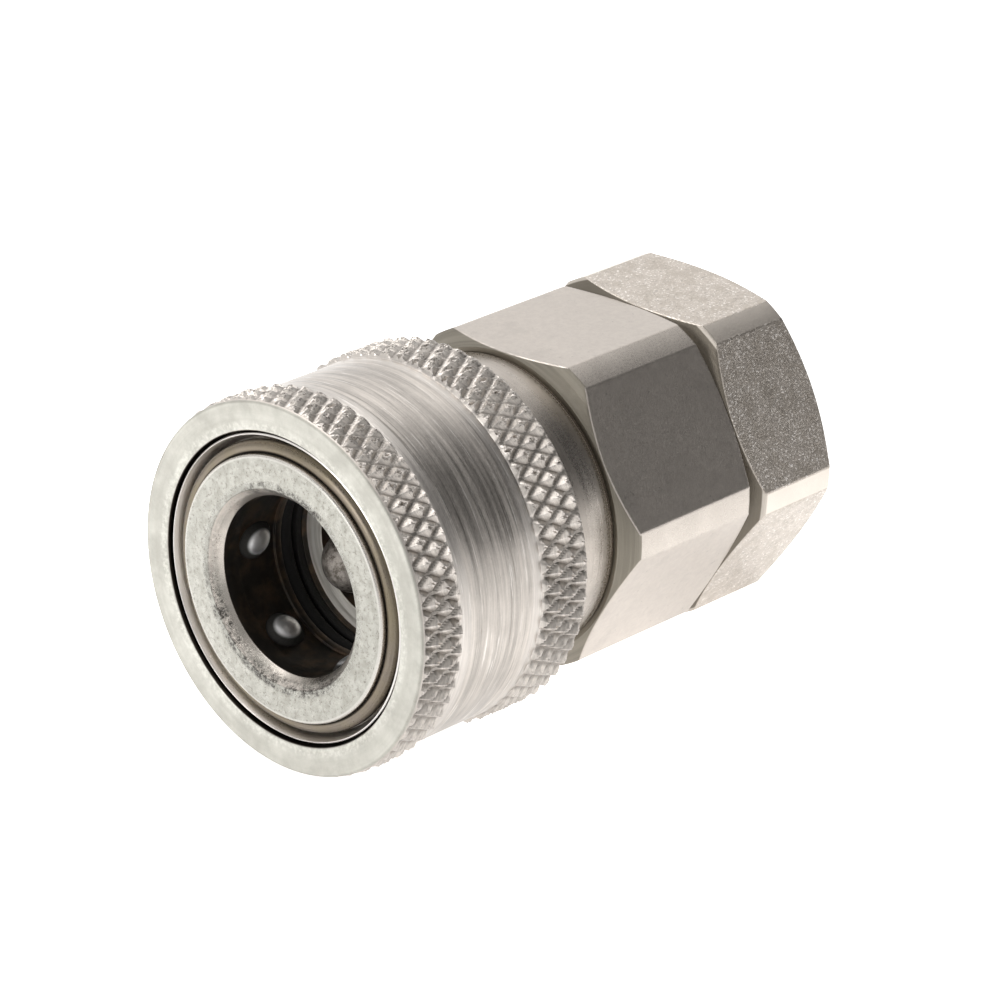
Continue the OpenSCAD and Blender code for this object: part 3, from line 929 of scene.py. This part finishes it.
paint(sleeve_steel(), sleeve)
paint(body_steel(), body)
paint(bar_steel(), adapter)
paint(collar_steel(), stop_collar)
paint(ring_steel(), snap_ring)
paint(Metal("spring_steel", 0.45, 0.25, 0.32, lines=0.2, tint=0.03).finish(), sleeve_spring, valve_spring)
paint(ball_steel(), *(nodes[f"ball_{k}"] for k in range(1, 7)))
paint(poppet_steel(), poppet, nodes["valve_guide"])
paint(polymer("seal_rubber", (0.006, 0.0055, 0.005, 1), 0.8, 14.0),
      nodes["probe_o_ring"], nodes["poppet_o_ring"], nodes["adapter_o_ring"])
paint(polymer("seal_plastic", (0.009, 0.008, 0.007, 1), 0.75, 10.0), nodes["backup_ring"])


# ---------------------------------------------------------------- stage, light and camera

def floor_material():
    """White, with a soft glow under the coupler and beside it."""
    material, n = new_material("floor_white")
    coord = n.add("ShaderNodeTexCoord").outputs["Object"]
    split = n.add("ShaderNodeSeparateXYZ")
    n.link(coord, split.inputs[0])
    x, y = split.outputs[0], split.outputs[1]
    along = n.over(n.minus(x, 0.028), 1.5)
    across = n.plus(y, 0.004)
    away = n.math("SQRT", n.plus(n.times(along, along), n.times(across, across)))
    glow = n.plus(n.ramp(away, 0.003, 0.014, 0.35, 0.0), n.ramp(away, 0.012, 0.062, 0.78, 0.3))
    glow = n.plus(glow, n.ramp(y, 0.008, 0.034, 0.0, 0.5))
    n.put(n.shader.inputs["Base Color"], n.mix(n.noise(coord, 3.0), grey(0.78), grey(0.82)))
    n.put(n.shader.inputs["Emission Color"], (1, 1, 1, 1))
    n.put(n.shader.inputs["Emission Strength"], glow)
    n.put(n.shader.inputs["Roughness"], 0.7)
    n.put(n.shader.inputs["Specular IOR Level"], 0.2)
    return material


def floor():
    """A wide table under the coupler, which rests on its rear knurl and the adapter's lower edge."""
    knurl_foot_x, knurl_foot_z = FRONT + 17.5, -KNURL_R
    edge_foot_x = FRONT + PORT_FACE - 0.95
    edge_foot_z = -ADAPTER_FLAT_R / math.cos(math.radians(ADAPTER_TURN)) - 0.05
    slope = (edge_foot_z - knurl_foot_z) / (edge_foot_x - knurl_foot_x)
    half, cells, clearance = 8000.0, 24, 0.02
    steps = [-half + 2 * half * i / cells for i in range(cells + 1)]
    verts = [(x, y, knurl_foot_z + slope * (x - knurl_foot_x) - clearance) for x in steps for y in steps]
    faces = []
    for i in range(cells):
        for j in range(cells):
            a = i * (cells + 1) + j
            faces.append((a, a + cells + 1, a + cells + 2, a + 1))
    obj = make_object("floor", verts, faces)
    paint(floor_material(), obj)


def softbox(name, place, target, size, power):
    """A square area light at a place in metres, looking at a target and hidden from the camera."""
    data = bpy.data.lights.new(name, "AREA")
    data.shape = "RECTANGLE"
    data.size, data.size_y = size, size
    data.energy = power
    obj = bpy.data.objects.new(name, data)
    bpy.context.scene.collection.objects.link(obj)
    obj.location = place
    obj.rotation_mode = "QUATERNION"
    obj.rotation_quaternion = (Vector(target) - Vector(place)).to_track_quat("-Z", "Y")
    obj.visible_camera = False


def studio():
    """A white room that is dark towards one side and dimmer towards another."""
    world = bpy.data.worlds.new("studio")
    bpy.context.scene.world = world
    world.use_nodes = True
    n = Nodes(world.node_tree, "ShaderNodeBackground", "ShaderNodeOutputWorld")
    looking = n.add("ShaderNodeTexCoord").outputs["Generated"]
    dark_side = Vector((0.70, -0.53, 0.48)).normalized()
    dim_side = Vector((-0.80, -0.35, 0.48)).normalized()
    dark = n.ramp(n.dot(looking, dark_side), 0.63, 0.98, 1.28, 0.12)
    dim = n.ramp(n.dot(looking, dim_side), 0.3, 0.95, 1.0, 0.5)
    n.put(n.shader.inputs["Strength"], n.times(dark, dim))


floor()
softbox("softbox_top", (0.05, 0.20, 0.75), (0.02, 0, 0), 0.6, 3.2)
softbox("softbox_front", (-0.75, 0.10, 0.22), (0.0, 0, 0), 0.4, 2.2)
studio()
bpy.context.scene.view_settings.view_transform = "Standard"

# The camera looks down on the socket from its front, with its own right, up and forward directions.
CAMERA_RIGHT = (0.6848, -0.7286, 0.0130)
CAMERA_UP = (0.2825, 0.2819, 0.9169)
CAMERA_AHEAD = (0.6718, 0.6242, -0.3989)
CAMERA_PLACE = (-0.22363, -0.22913, 0.14645)
camera = bpy.data.objects.new("camera", bpy.data.cameras.new("camera"))
bpy.context.scene.collection.objects.link(camera)
bpy.context.scene.camera = camera
camera.data.lens, camera.data.sensor_width = 169.2, 36
camera.data.clip_start, camera.data.clip_end = 0.01, 10
stand = Matrix((CAMERA_RIGHT, CAMERA_UP, [-a for a in CAMERA_AHEAD])).transposed().to_4x4()
stand.translation = CAMERA_PLACE
camera.matrix_world = stand
